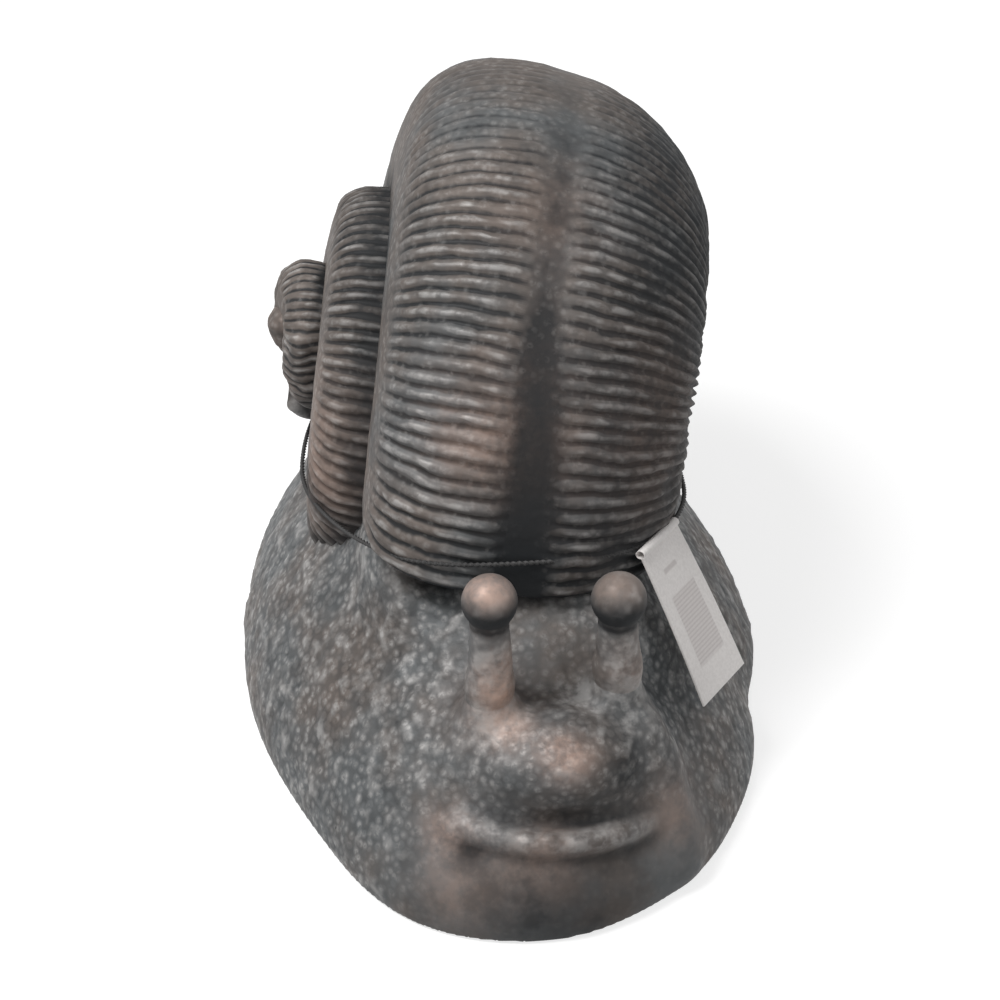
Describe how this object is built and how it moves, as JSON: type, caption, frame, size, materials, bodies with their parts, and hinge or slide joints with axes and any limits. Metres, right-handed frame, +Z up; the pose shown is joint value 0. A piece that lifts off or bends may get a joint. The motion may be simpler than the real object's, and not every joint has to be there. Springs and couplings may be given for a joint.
{
  "type": "snail figurine",
  "caption": "Hollow cast garden snail figurine with a ribbed spiral shell, eye stalks, a closed base, felt pads and a paper label that swings on a thin cord round the shell.",
  "frame": {"origin": "on the ground, under the middle of the object's bounding box", "axes": "+Z up, -Y the way the snail's head faces, +X to its left-hand side away from the spire, which points to -X"},
  "size_m": [0.206, 0.3632, 0.2372],
  "materials": {
    "bronze_patina": "grey patina over a cast skin, rubbed coppery on the high spots",
    "steel": "plain turned steel",
    "felt": "dense dark felt",
    "rubber": "matt black rubber",
    "cord": "thin dark twisted cord",
    "crimp": "pressed sleeve, matt",
    "paper": "uncoated warm grey paper label"
  },
  "bodies": {
    "snail": {"foot_casting": "bronze_patina", "shell_left_half": "bronze_patina", "shell_right_half": "bronze_patina", "spire_whorl": "bronze_patina", "spire_tip": "bronze_patina", "seam_dowels": "steel", "eye_stalk_left": "bronze_patina", "eye_stalk_right": "bronze_patina", "stalk_pin_left": "steel", "stalk_pin_right": "steel", "base_plate": "bronze_patina", "base_screws": "steel", "foot_pads": "felt", "tag_cord": "cord", "cord_crimp": "crimp"},
    "label": {"tag_label": "paper"},
    "plug": {"filler_plug": "rubber"}
  },
  "joints": [
    {"name": "tag_swing", "type": "hinge", "parent": "snail", "child": "label", "pos_m": [0.0536, -0.0749, 0.107], "axis": [-0.5692, -0.8138, 0.1176], "range_deg": [0, 90]},
    {"name": "plug_pull", "type": "slide", "parent": "snail", "child": "plug", "axis": [0, 0, -1], "range_m": [0, 0.012]}
  ]
}
